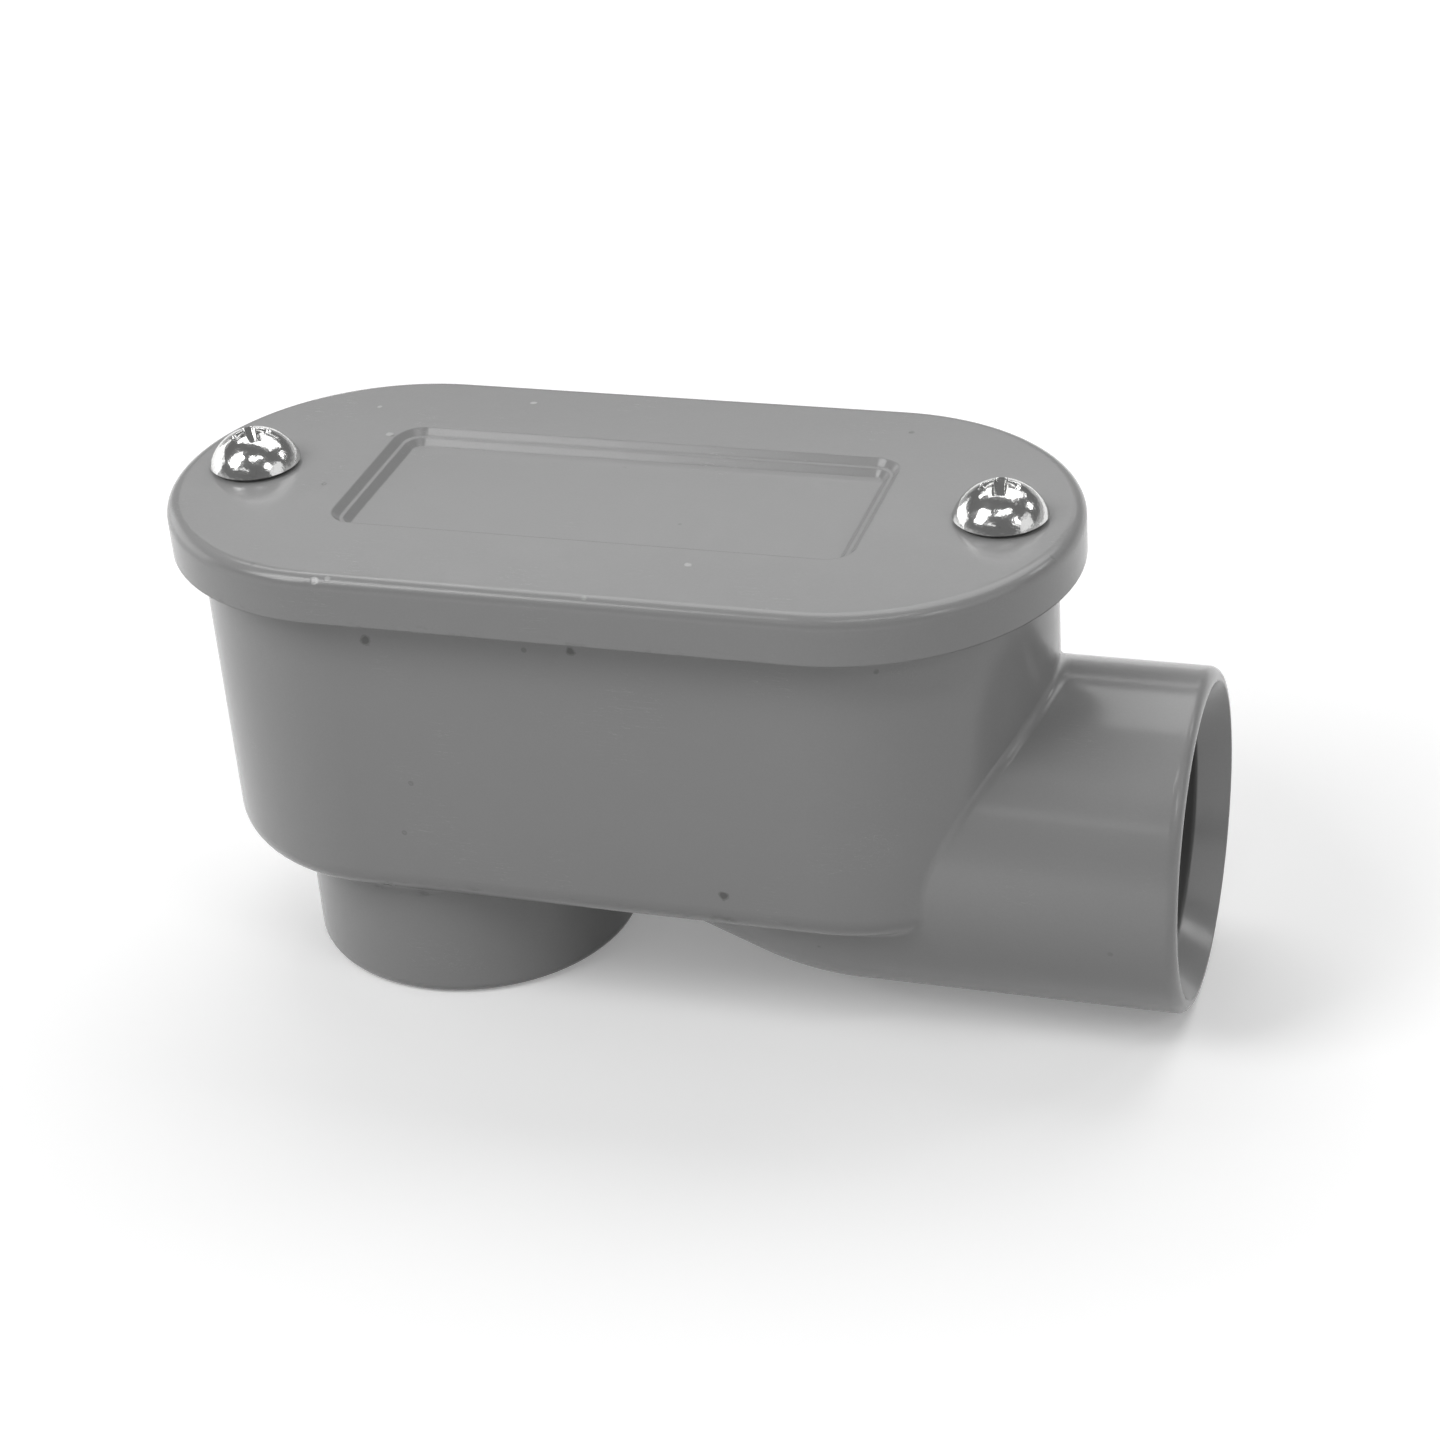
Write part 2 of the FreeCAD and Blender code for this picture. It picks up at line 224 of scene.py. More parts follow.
class Shader(Graph):
    """Node tree of one material on a Principled BSDF."""

    def __init__(self, name: str) -> None:
        """Makes a material with an empty tree.

        Args:
            name: name of the material.
        """
        self.material = bpy.data.materials.new(name)
        self.material.use_nodes = True
        super().__init__(self.material.node_tree)
        self.tree.nodes.clear()

    def place(self) -> Wire:
        """Position in the part's frame, in millimetres."""
        coordinates = self.node("ShaderNodeTexCoord", output="Object")
        return self.vector("SCALE", coordinates, Scale=MM_IN_METRE)

    def vector(self, operation: str, *parts: Any, output: int = 0, **named: Any) -> Wire:
        """Adds one Vector Math node.

        Args:
            operation: name of the operation.
            parts: its vectors, in order.
            output: 0 for a vector, 1 for a number.
            named: its other sockets by name.

        Returns:
            The node's result.
        """
        values: dict[Union[int, str], Any] = dict(enumerate(parts))
        values.update(named)
        return self.node("ShaderNodeVectorMath", {"operation": operation}, values, output)

    def axis(self, vector: Wire, name: str) -> Wire:
        """One coordinate of a vector, by its letter."""
        return self.node("ShaderNodeSeparateXYZ", values={0: vector}, output=name)

    def stretched(self, place: Wire, scale: Point) -> Wire:
        """Place with each of its coordinates multiplied by its own factor."""
        return self.vector("MULTIPLY", place, scale)

    def noise(self, place: Wire, kind: Noise) -> Wire:
        """Soft noise around 0.5.

        Args:
            place: where it is read, in millimetres.
            kind: its scale and layers.

        Returns:
            The noise.
        """
        if kind.stretch != UNSTRETCHED:
            place = self.stretched(place, kind.stretch)
        values = {
            "Vector": place,
            "Scale": kind.per_mm,
            "Detail": kind.detail,
            "Roughness": kind.rough,
        }
        return self.node("ShaderNodeTexNoise", None, values)

    def cells(self, place: Wire, per_mm: float) -> Wire:
        """Distance to the nearest point of a scatter.

        Args:
            place: where it is read, in millimetres.
            per_mm: points to the millimetre.

        Returns:
            The distance, in cells.
        """
        values = {"Vector": place, "Scale": per_mm}
        return self.node("ShaderNodeTexVoronoi", {"feature": "F1"}, values, "Distance")

    def blend(self, share: Operand, first: Any, second: Any) -> Wire:
        """Colour between two colours.

        Args:
            share: 0 for the first, 1 for the second.
            first: colour, as three numbers or a Wire.
            second: colour, as three numbers or a Wire.

        Returns:
            The colour.
        """
        settings = {"data_type": "RGBA", "clamp_factor": True}
        values = {0: share, 6: self._opaque(first), 7: self._opaque(second)}
        return self.node("ShaderNodeMix", settings, values, 2)

    @staticmethod
    def _opaque(colour: Any) -> Any:
        """A colour with its alpha, or the Wire as it is."""
        return colour if isinstance(colour, Wire) else (*colour, 1.0)

    def relief(self, height_mm: Wire, softness_mm: float = 0.0) -> Wire:
        """Normal of a surface with a fine relief.

        Args:
            height_mm: the relief, in millimetres.
            softness_mm: radius that sharp edges are shaded with, 0 to leave them.

        Returns:
            The normal.
        """
        values = {"Strength": 1.0, "Distance": MM, "Height": height_mm}
        if softness_mm:
            samples, edges = {"samples": BEVEL_SAMPLES}, {"Radius": softness_mm * MM}
            values["Normal"] = self.node("ShaderNodeBevel", samples, edges)
        return self.node("ShaderNodeBump", None, values)

    def close(self, **sockets: Any) -> bpy.types.Material:
        """Adds the BSDF and the output.

        Args:
            sockets: the BSDF's sockets, with _ for each space in their names.

        Returns:
            The finished material.
        """
        values = {name.replace("_", " "): value for name, value in sockets.items()}
        self.node_out(self.node("ShaderNodeBsdfPrincipled", None, values))
        return self.material

    def node_out(self, shade: Wire) -> None:
        """Sends a shader to the material's output."""
        made = self.tree.nodes.new("ShaderNodeOutputMaterial")
        self.tree.links.new(shade.socket, made.inputs["Surface"])


# ---------------------------------------------------------------- wear


@dataclass(frozen=True)
class Mark:
    """Small stain or nick on the moulding, with a ragged edge.

    Attributes:
        place: its middle, in millimetres.
        radius: its radius, in millimetres.
        strength: share of its colour, from 0 to 1.
        foot: share of the radius at which it starts.
        core: share of the radius inside which it is at full strength.
    """

    place: Point
    radius: float
    strength: float
    foot: float = 1.15
    core: float = 0.5

    def mask(self, shader: Shader, place: Wire, ragged: Wire) -> Wire:
        """Mask of the mark.

        Args:
            shader: the shader it is drawn in.
            place: position, in millimetres.
            ragged: uneven field around zero that breaks up its edge.

        Returns:
            The mask.
        """
        distance = shader.vector("DISTANCE", place, self.place, output=1)
        uneven = distance + ragged * self.radius
        return uneven.rise(self.radius * self.foot, self.radius * self.core) * self.strength


@dataclass(frozen=True)
class SoiledBand:
    """Smeared dirt between two heights, which ends some way along the fitting.

    Attributes:
        low: height at which it starts, in millimetres.
        high: height at which it ends, in millimetres.
        blend: how softly it starts and ends, in millimetres.
        reach: place along the fitting up to which it lies, in millimetres.
        reach_blend: length over which it fades out there, in millimetres.
        strength: share of its colour, from 0 to 1.
        smear: noise that tears it up.
        smeared: values of the noise at which it starts and is complete.
    """

    low: float = -4.2
    high: float = -1.4
    blend: float = 0.6
    reach: float = 31.0
    reach_blend: float = 3.0
    strength: float = 0.4
    smear: Noise = Noise(0.55, 5.0, 0.65, (0.7, 0.7, 1.6))
    smeared: Span = (0.52, 0.72)

    def mask(self, shader: Shader, place: Wire) -> Wire:
        """Mask of the dirt.

        Args:
            shader: the shader it is drawn in.
            place: position, in millimetres.

        Returns:
            The mask.
        """
        smear = shader.noise(place, self.smear).rise(*self.smeared)
        band = shader.axis(place, "Z").band(self.low, self.high, self.blend)
        ends = shader.axis(place, "X").rise(self.reach + self.reach_blend, self.reach)
        return smear * (band * ends) * self.strength


@dataclass(frozen=True)
class Specks:
    """Dark specks that lie together in a few patches.

    Attributes:
        per_mm: points to the millimetre, of which few fall in a patch.
        size: distances from a point, in cells, at which a speck starts and is complete.
        patches: noise that sets the patches.
        patch: values of the noise at which a patch starts and is complete.
        strength: share of its colour, from 0 to 1.
    """

    per_mm: float = 0.28
    size: Span = (0.09, 0.05)
    patches: Noise = Noise(0.21, 1.0)
    patch: Span = (0.56, 0.62)
    strength: float = 0.35

    def mask(self, shader: Shader, place: Wire) -> Wire:
        """Mask of the specks.

        Args:
            shader: the shader it is drawn in.
            place: position, in millimetres.

        Returns:
            The mask.
        """
        specks = shader.cells(place, self.per_mm).rise(*self.size)
        return specks * shader.noise(place, self.patches).rise(*self.patch) * self.strength


@dataclass(frozen=True)
class SocketPaintedShade:
    """Painted shade on the straight wall of the end socket, which darkens the bore where little
    light reaches it.

    Attributes:
        radius: distance from the socket's axis inside which it lies, in millimetres.
        wall_blend: how softly it starts there, in millimetres.
        inner_end: place along the axis at which it starts, in millimetres.
        outer_end: place along the axis at which it ends, in millimetres.
        end_blend: how softly it starts and ends along the axis, in millimetres.
        strength: share of its colour, from 0 to 1.
    """

    radius: float = 10.95
    wall_blend: float = 0.1
    inner_end: float = 48.0
    outer_end: float = 59.6
    end_blend: float = 0.25
    strength: float = 0.75

    def mask(self, shader: Shader, place: Wire) -> Wire:
        """Mask of the painted shade.

        Args:
            shader: the shader it is drawn in.
            place: position, in millimetres.

        Returns:
            The mask.
        """
        across = shader.vector("LENGTH", shader.stretched(place, (0.0, 1.0, 1.0)), output=1)
        inside = across.rise(self.radius + self.wall_blend, self.radius - self.wall_blend)
        along = shader.axis(place, "X").band(self.inner_end, self.outer_end, self.end_blend)
        return inside * along * self.strength


@dataclass(frozen=True)
class Scratches:
    """Hairline scratches along the fitting, in a few patches.

    Attributes:
        hair: drawn-out noise that the lines follow.
        line: values of the noise between which a line shows.
        line_blend: how softly it starts and ends, in the noise's own units.
        patches: noise that sets the patches.
        patch: values of the noise at which a patch starts and is complete.
        strength: share of its colour, from 0 to 1.
    """

    hair: Noise = Noise(1.2, stretch=(0.25, 3.0, 3.0))
    line: Span = (0.495, 0.505)
    line_blend: float = 0.006
    patches: Noise = Noise(0.16)
    patch: Span = (0.55, 0.68)
    strength: float = 0.22

    def mask(self, shader: Shader, place: Wire) -> Wire:
        """Mask of the scratches.

        Args:
            shader: the shader it is drawn in.
            place: position, in millimetres.

        Returns:
            The mask.
        """
        hair = shader.noise(place, self.hair).band(*self.line, self.line_blend)
        return hair * shader.noise(place, self.patches).rise(*self.patch) * self.strength


# ---------------------------------------------------------------- finishes


@dataclass(frozen=True)
class MouldedPlastic:
    """Satin grey moulding: flow mottling, fine grain, scuffs and handling marks, with painted
    shade among its dirt layers where one is given.

    The fields that end in _tone, _gloss and _relief say how much a layer shifts the tone, the
    roughness and, in millimetres, the height.
    """

    name: str
    colour: Colour = (0.31, 0.31, 0.31)
    scuff: Colour = (0.55, 0.55, 0.55)
    # dark colour of stains and dirt, and of painted shade in the end socket
    soil_and_shade: Colour = (0.07, 0.07, 0.068)
    tone_range: float = 0.15
    gloss: float = 0.19
    edge_softness: float = 0.22
    flow: Noise = Noise(0.09, 3.0, stretch=(0.6, 1.0, 1.0))
    flow_tone: float = 0.16
    cloud: Noise = Noise(0.5, 4.0, 0.6)
    cloud_tone: float = 0.07
    cloud_gloss: float = 0.08
    grain: Noise = Noise(5.0, 2.0, 0.7)
    grain_tone: float = 0.26
    grain_relief: float = 0.0012
    peel: Noise = Noise(0.8, 2.0, 0.4)
    peel_relief: float = 0.006
    refraction: float = 1.5
    soil_and_shade_gloss: float = 0.25
    scratch_gloss: float = 0.4
    scratch_relief: float = 0.006
    nick_relief: float = 0.02
    ragged: Noise = Noise(2.5, 3.0)
    dark_marks: tuple[Mark, ...] = ()
    pale_marks: tuple[Mark, ...] = ()
    # dirt layers; a socket layer among them is painted shade, not dirt
    dirt_and_shade: tuple[Union[SoiledBand, Specks, SocketPaintedShade], ...] = (SoiledBand(), Specks())
    scratches: Scratches = Scratches()

    def _marks(self, shader: Shader, place: Wire, marks: Sequence[Mark]) -> Wire:
        """Mask of several marks.

        Args:
            shader: the shader they are drawn in.
            place: position, in millimetres.
            marks: the marks, which may be none.

        Returns:
            The mask.
        """
        ragged = shader.noise(place, self.ragged) - NOISE_MIDDLE
        mask = ragged * 0.0  # a field of zeros, so that no marks give an empty mask
        for mark in marks:
            mask = mask.at_least(mark.mask(shader, place, ragged))
        return mask

    def build(self) -> bpy.types.Material:
        """Makes the material.

        Returns:
            The finished material.
        """
        shader = Shader(self.name)
        place = shader.place()
        flow = (shader.noise(place, self.flow) - NOISE_MIDDLE) * self.flow_tone
        cloud = shader.noise(place, self.cloud) - NOISE_MIDDLE
        grain = shader.noise(place, self.grain)
        tone = flow + cloud * self.cloud_tone + (grain - NOISE_MIDDLE) * self.grain_tone
        dark = tuple((1.0 - self.tone_range) * channel for channel in self.colour)
        pale = tuple((1.0 + self.tone_range) * channel for channel in self.colour)
        colour = shader.blend(tone + 0.5, dark, pale)

        soil_and_shade = self._marks(shader, place, self.dark_marks)
        for layer in self.dirt_and_shade:
            soil_and_shade = soil_and_shade.at_least(layer.mask(shader, place))
        # stains, dirt and any painted shade of the socket take the same dark colour
        colour = shader.blend(soil_and_shade, colour, self.soil_and_shade)

        scratch = self.scratches.mask(shader, place)
        nick = self._marks(shader, place, self.pale_marks)
        colour = shader.blend(scratch.at_least(nick), colour, self.scuff)

        roughness = self.gloss + cloud * self.cloud_gloss
        roughness = roughness + soil_and_shade * self.soil_and_shade_gloss + scratch * self.scratch_gloss
        relief = shader.noise(place, self.peel) * self.peel_relief + grain * self.grain_relief
        relief = relief - scratch * self.scratch_relief - nick * self.nick_relief
        return shader.close(
            Base_Color=colour,
            Roughness=roughness,
            Normal=shader.relief(relief, self.edge_softness),
            IOR=self.refraction,
        )


@dataclass(frozen=True)
class GasketFoam:
    """Closed-cell foam strip, cut from sheet.

    A pore is a fall in the scatter's distance: pore_edge and pore_wall are the distances, in
    cells, between which its tone and its depth go over into the skin around it.
    """

    name: str
    colour: Colour = (0.045, 0.045, 0.047)
    dust: Colour = (0.16, 0.16, 0.155)
    gloss: float = 0.88
    fine_gloss: float = 0.1
    pores_per_mm: float = 4.0
    pore_edge: Span = (0.1, 0.5)
    pore_tone: float = 0.2
    pore_wall: Span = (0.05, 0.45)
    pore_relief: float = 0.05
    fine: Noise = Noise(8.0, 3.0, 0.6)
    fine_tone: float = 0.2
    fine_relief: float = 0.01
    dusty: Noise = Noise(0.4, 4.0)
    dusty_patch: Span = (0.45, 0.75)
    dusty_tone: float = 0.35

    def build(self) -> bpy.types.Material:
        """Makes the material.

        Returns:
            The finished material.
        """
        shader = Shader(self.name)
        place = shader.place()
        pores = shader.cells(place, self.pores_per_mm)
        fine = shader.noise(place, self.fine)
        dusty = shader.noise(place, self.dusty).rise(*self.dusty_patch) * self.dusty_tone
        share = (1.0 - pores.rise(*self.pore_edge)) * self.pore_tone + dusty
        share = share + (fine - NOISE_MIDDLE) * self.fine_tone
        relief = pores.rise(*self.pore_wall) * self.pore_relief + fine * self.fine_relief
        return shader.close(
            Base_Color=shader.blend(share.at_least(0.0), self.colour, self.dust),
            Roughness=self.gloss + (fine - NOISE_MIDDLE) * self.fine_gloss,
            Normal=shader.relief(relief),
        )


@dataclass(frozen=True)
class PlatedSteel:
    """Bright plated steel with a drawn grain, faint dulled patches and small dents."""

    name: str
    bright: Colour = (0.78, 0.78, 0.775)
    dull: Colour = (0.46, 0.46, 0.45)
    gloss: float = 0.13
    patch: Noise = Noise(1.6, 4.0, 0.6)
    worn: Span = (0.5, 0.75)
    worn_tone: float = 0.5
    worn_gloss: float = 0.12
    fine: Noise = Noise(9.0, 3.0, 0.6)
    fine_tone: float = 0.2
    fine_gloss: float = 0.08
    fine_relief: float = 0.0016
    dents: Noise = Noise(1.1, 3.0)
    dent_relief: float = 0.05

    def build(self) -> bpy.types.Material:
        """Makes the material.

        Returns:
            The finished material.
        """
        shader = Shader(self.name)
        place = shader.place()
        worn = shader.noise(place, self.patch).rise(*self.worn)
        fine = shader.noise(place, self.fine)
        grain = fine - NOISE_MIDDLE
        dull = worn * self.worn_tone + grain * self.fine_tone
        roughness = self.gloss + worn * self.worn_gloss + grain * self.fine_gloss
        dents = shader.noise(place, self.dents) * self.dent_relief
        return shader.close(
            Base_Color=shader.blend(dull, self.bright, self.dull),
            Metallic=1.0,
            Roughness=roughness,
            Normal=shader.relief(dents + fine * self.fine_relief),
        )


@dataclass(frozen=True)
class PaperSweep:
    """Matt white floor that throws less light back up than the eye sees.

    Attributes:
        name: name of the material.
        seen: whiteness that is seen.
        thrown: whiteness that lights the fitting.
        lift: glow that is seen under the fitting.
        far_lift: glow that is added far away.
        far: distance over which it comes in, in millimetres.
    """

    name: str
    seen: float = 0.93
    thrown: float = 0.5
    lift: float = 0.22
    far_lift: float = 0.5
    far: Span = (350.0, 1500.0)

    def build(self) -> bpy.types.Material:
        """Makes the material.

        Returns:
            The finished material.
        """
        shader = Shader(self.name)
        camera, glossy, through = (
            shader.node("ShaderNodeLightPath", output=name)
            for name in ("Is Camera Ray", "Is Glossy Ray", "Is Transmission Ray")
        )
        seen = camera.at_least(glossy).at_least(through)
        colour = shader.blend(seen, (self.thrown,) * 3, (self.seen,) * 3)
        paper = shader.node("ShaderNodeBsdfDiffuse", None, {"Color": colour})
        away = shader.vector("LENGTH", shader.place(), output=1)
        lift = away.rise(*self.far) * self.far_lift + self.lift
        glow = shader.node("ShaderNodeEmission", None, {"Strength": seen * lift})
        shader.node_out(shader.node("ShaderNodeAddShader", None, {0: paper, 1: glow}))
        return shader.material


# ---------------------------------------------------------------- pieces


def new_object(name: str, mesh: bpy.types.Mesh) -> bpy.types.Object:
    """Links a new object that stands at the origin.

    Args:
        name: name of the object.
        mesh: its mesh, in the part's frame.

    Returns:
        The object.
    """
    made = bpy.data.objects.new(name, mesh)
    bpy.context.scene.collection.objects.link(made)
    return made


def dress(node: str, material: bpy.types.Material) -> None:
    """Gives a CAD node its finish.

    Args:
        node: name of the CAD node.
        material: the finish.
    """
    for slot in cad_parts[node].material_slots:
        slot.material = material
    LOG.info("%s: %s", node, material.name)


@dataclass
class WiringBox:
    """Moulded box with both hubs, which stays as the frame gives it."""

    stains: tuple[Mark, ...] = (
        Mark((0.1, -15.8, 20.8), 0.45, 0.7),
        Mark((16.9, -15.8, 21.4), 0.4, 0.7),
        Mark((50.0, 3.5, 14.9), 0.3, 0.8),
        Mark((27.5, -15.8, 0.7), 0.42, 0.75),
    )

    def build(self) -> None:
        """Dresses the moulding."""
        # the socket layer is painted shade: it darkens the wall of the end socket's bore
        dirt_and_shade = (SoiledBand(), Specks(), SocketPaintedShade())
        finish = MouldedPlastic("box_plastic", dark_marks=self.stains, dirt_and_shade=dirt_and_shade)
        dress("body", finish.build())


@dataclass
class Cover:
    """Cover and the gasket that stays on it."""

    nicks: tuple[Mark, ...] = (
        Mark((-2.5, -17.7, 26.8), 0.35, 0.8),
        Mark((-1.5, -17.5, 26.9), 0.3, 0.7),
        Mark((19.0, -17.2, 26.7), 0.4, 0.7),
        Mark((25.2, -11.2, 27.1), 0.35, 0.7),
        Mark((29.5, 5.3, 27.1), 0.4, 0.5),
        Mark((-6.2, 6.9, 27.1), 0.4, 0.6),
        Mark((3.7, 14.4, 27.1), 0.3, 0.7),
        Mark((-9.1, 11.8, 27.1), 0.25, 0.6),
    )
    soiled_edge: SoiledBand = SoiledBand(low=22.6, high=23.6, strength=0.3)

    def build(self) -> None:
        """Dresses the cover and the gasket."""
        dirt_and_shade = (self.soiled_edge, Specks())
        finish = MouldedPlastic("cover_plastic", pale_marks=self.nicks, dirt_and_shade=dirt_and_shade)
        dress("cover", finish.build())
        dress("cover_gasket", GasketFoam("gasket_foam").build())


class GeometryGraph(Graph):
    """Geometry Nodes tree with named inputs."""

    def __init__(self, name: str) -> None:
        """Makes a tree whose first input and output are geometry.

        Args:
            name: name of the tree.
        """
        super().__init__(bpy.data.node_groups.new(name, "GeometryNodeTree"))
        face = self.tree.interface
        face.new_socket("Geometry", in_out="INPUT", socket_type="NodeSocketGeometry")
        face.new_socket("Geometry", in_out="OUTPUT", socket_type="NodeSocketGeometry")
        self.entry = self.tree.nodes.new("NodeGroupInput")
        self.identifiers: dict[str, str] = {}

    def given(self, name: str, kind: str) -> Wire:
        """Adds a named input.

        Args:
            name: name of the input.
            kind: type name of its socket.

        Returns:
            The input's value inside the tree.
        """
        socket = self.tree.interface.new_socket(name, in_out="INPUT", socket_type=kind)
        self.identifiers[name] = socket.identifier
        return Wire(self, self.entry.outputs[name])

    def joined(self, *parts: Wire) -> Wire:
        """Adds a Join Geometry node.

        Args:
            parts: the geometries.

        Returns:
            All of them as one geometry.
        """
        made = self.tree.nodes.new("GeometryNodeJoinGeometry")
        for part in parts:
            self.tree.links.new(part.socket, made.inputs[0])
        return Wire(self, made.outputs[0])

    def close(self, geometry: Wire, material: Wire) -> None:
        """Realizes the geometry, gives it its material and ends the tree.

        Args:
            geometry: what the tree has made.
            material: its finish.
        """
        real = self.node("GeometryNodeRealizeInstances", None, {0: geometry})
        values = {"Geometry": real, "Material": material}
        dressed = self.node("GeometryNodeSetMaterial", None, values)
        end = self.tree.nodes.new("NodeGroupOutput")
        self.tree.links.new(dressed.socket, end.inputs[0])

    def apply(self, target: bpy.types.Object, values: Mapping[str, Any]) -> bpy.types.Mesh:
        """Runs the tree on an object and takes the result as a plain mesh.

        Args:
            target: object that carries the tree while it runs.
            values: value of each named input.

        Returns:
            The new mesh.
        """
        modifier = target.modifiers.new(self.tree.name, "NODES")
        modifier.node_group = self.tree
        for name, value in values.items():
            modifier[self.identifiers[name]] = value
        target.update_tag()
        graph = bpy.context.evaluated_depsgraph_get()
        graph.update()
        mesh = bpy.data.meshes.new_from_object(target.evaluated_get(graph), depsgraph=graph)
        target.modifiers.remove(modifier)
        return mesh


@dataclass
class CoverScrews:
    """Two round-head thread-cutting screws with a cross recess.

    Lengths are in millimetres. The tip's radii are shares of the root's, thread_tip is a share
    of the tip's length, and the run-in and run-out are shares of the thread's length.
    """

    head_radius: float = 3.8
    head_height: float = 2.95
    edge_height: float = 0.34
    edge_undercut: float = 0.3
    recess_reach: float = 2.0
    recess_width: float = 0.85
    recess_depth: float = 1.5
    recess_core: float = 0.12
    recess_edge: float = 0.3
    seam_lift: float = 0.02
    neck_flare: float = 0.25
    root_radius: float = 1.45
    crest_radius: float = 1.94
    shank_length: float = 12.7
    tip_length: float = 1.2
    tip_bevel: float = 0.12
    tip_bevel_radius: float = 0.55
    tip_end_radius: float = 0.3
    pitch: float = 1.06
    ridge_sink: float = 0.06
    thread_neck: float = 0.5
    thread_tip: float = 0.3
    thread_run_in: float = 0.08
    thread_run_out: float = 0.1
    thread_thinnest: float = 0.02
    turn_steps: int = 40
    ridge_sides: int = 4
    around: int = 144
    across: int = 72
    sharp_angle: float = 50.0

    def ball(self) -> float:
        """Radius of the ball that the head's dome is cut from."""
        return (self.head_radius**2 + self.head_height**2) / (2 * self.head_height)

    def dome(self, distance: float) -> float:
        """Height of the head's dome at a distance from its axis."""
        ball = self.ball()
        return math.sqrt(max(ball**2 - distance**2, 0.0)) + self.head_height - ball

    def edge_radius(self) -> float:
        """Radius at which the dome ends, a little above the head's seat."""
        ball = self.ball()
        return math.sqrt(ball**2 - (self.edge_height - self.head_height + ball) ** 2)

    def recess(self, x: float, y: float) -> float:
        """Height of the cross recess's floor, with a soft lip up to the dome.

        Args:
            x: distance from the axis along one wing.
            y: distance from the axis along the other.

        Returns:
            The height, which is the dome's own outside the recess.
        """
        top = self.dome(math.hypot(x, y))
        lowest = top
        for along, across in ((abs(x), abs(y)), (abs(y), abs(x))):
            fall = (along - self.recess_core) / (self.recess_reach - self.recess_core)
            floor = self.head_height - self.recess_depth * (1.0 - max(fall, 0.0))
            side = (self.recess_width / 2 - across) / self.recess_edge
            share = min(max(side + 0.5, 0.0), 1.0)
            share = share * share * (3.0 - 2.0 * share)
            lowest = min(lowest, top + (min(floor, top) - top) * share)
        return lowest

    def side_outline(self) -> list[tuple[float, float]]:
        """Lists the rings below the dome, from the head's edge to the tip.

        Returns:
            Radius and height of each ring.
        """
        tip, root = -self.shank_length, self.root_radius
        return [
            (self.edge_radius() - self.edge_undercut, self.seam_lift),
            (root + self.neck_flare, self.seam_lift),
            (root, -self.neck_flare),
            (root, tip + self.tip_length),
            (root * self.tip_bevel_radius, tip + self.tip_bevel),
            (root * self.tip_end_radius, tip),
        ]

    def ring(
        self, work: bmesh.types.BMesh, distance: float, height: Optional[float] = None
    ) -> list[bmesh.types.BMVert]:
        """One ring of vertices.

        Args:
            work: mesh that they are added to.
            distance: radius of the ring.
            height: its height, or None to lie on the dome and its recess.

        Returns:
            The vertices in order.
        """
        made = []
        for turn in range(self.around):
            angle = math.tau * turn / self.around
            x, y = distance * math.cos(angle), distance * math.sin(angle)
            z = self.recess(x, y) if height is None else height
            made.append(work.verts.new((x, y, z)))
        return made

    def blank(self) -> bpy.types.Mesh:
        """Head and plain shank about the Z axis, with the head's seat at z = 0.

        Returns:
            A closed mesh, in metres.
        """
        work = bmesh.new()
        crown = work.verts.new((0.0, 0.0, self.recess(0.0, 0.0)))
        reach, steps = self.edge_radius(), range(1, self.across + 1)
        loops = [self.ring(work, reach * step / self.across) for step in steps]
        loops += [self.ring(work, distance, height) for distance, height in self.side_outline()]
        for turn in range(self.around):
            after = (turn + 1) % self.around
            work.faces.new((crown, loops[0][turn], loops[0][after]))
            for inner, outer in zip(loops, loops[1:]):
                work.faces.new((inner[turn], outer[turn], outer[after], inner[after]))
        work.faces.new(list(reversed(loops[-1])))
        bmesh.ops.recalc_face_normals(work, faces=work.faces)
        bmesh.ops.scale(work, vec=(MM, MM, MM), verts=work.verts)
        mesh = bpy.data.meshes.new("screw_blank")
        work.to_mesh(mesh)
        work.free()
        mesh.shade_smooth()
        mesh.set_sharp_from_angle(angle=math.radians(self.sharp_angle))
        return mesh

    def thread_tree(self) -> GeometryGraph:
        """Builds the tree that winds the thread on a blank and sets the screw in its place.

        Returns:
            The tree.
        """
        tree = GeometryGraph("threaded_screw")
        turns = tree.given("Turns", "NodeSocketFloat")
        middle = tree.given("Thread Radius", "NodeSocketFloat")
        ridge = tree.given("Ridge Size", "NodeSocketFloat")
        length = tree.given("Thread Length", "NodeSocketFloat")
        foot = tree.given("Thread Foot", "NodeSocketVector")
        seat = tree.given("Seat", "NodeSocketVector")
        stop = tree.given("Stop Angle", "NodeSocketRotation")
        finish = tree.given("Finish", "NodeSocketMaterial")
        spiral = {
            "Resolution": self.turn_steps,
            "Rotations": turns,
            "Start Radius": middle,
            "End Radius": middle,
            "Height": length,
        }
        helix = tree.node("GeometryNodeCurveSpiral", None, spiral)
        along = tree.node("GeometryNodeSplineParameter", output="Factor")
        run_in = along.rise(0.0, self.thread_run_in)
        run_out = along.rise(1.0, 1.0 - self.thread_run_out)
        tapered = {"Curve": helix, "Radius": run_in * run_out + self.thread_thinnest}
        helix = tree.node("GeometryNodeSetCurveRadius", None, tapered)
        circle = {"Resolution": self.ridge_sides, "Radius": ridge}
        section = tree.node("GeometryNodeCurvePrimitiveCircle", None, circle)
        swept = {"Curve": helix, "Profile Curve": section, "Fill Caps": True}
        ridges = tree.node("GeometryNodeCurveToMesh", None, swept)
        lowered = {"Geometry": ridges, "Translation": foot}
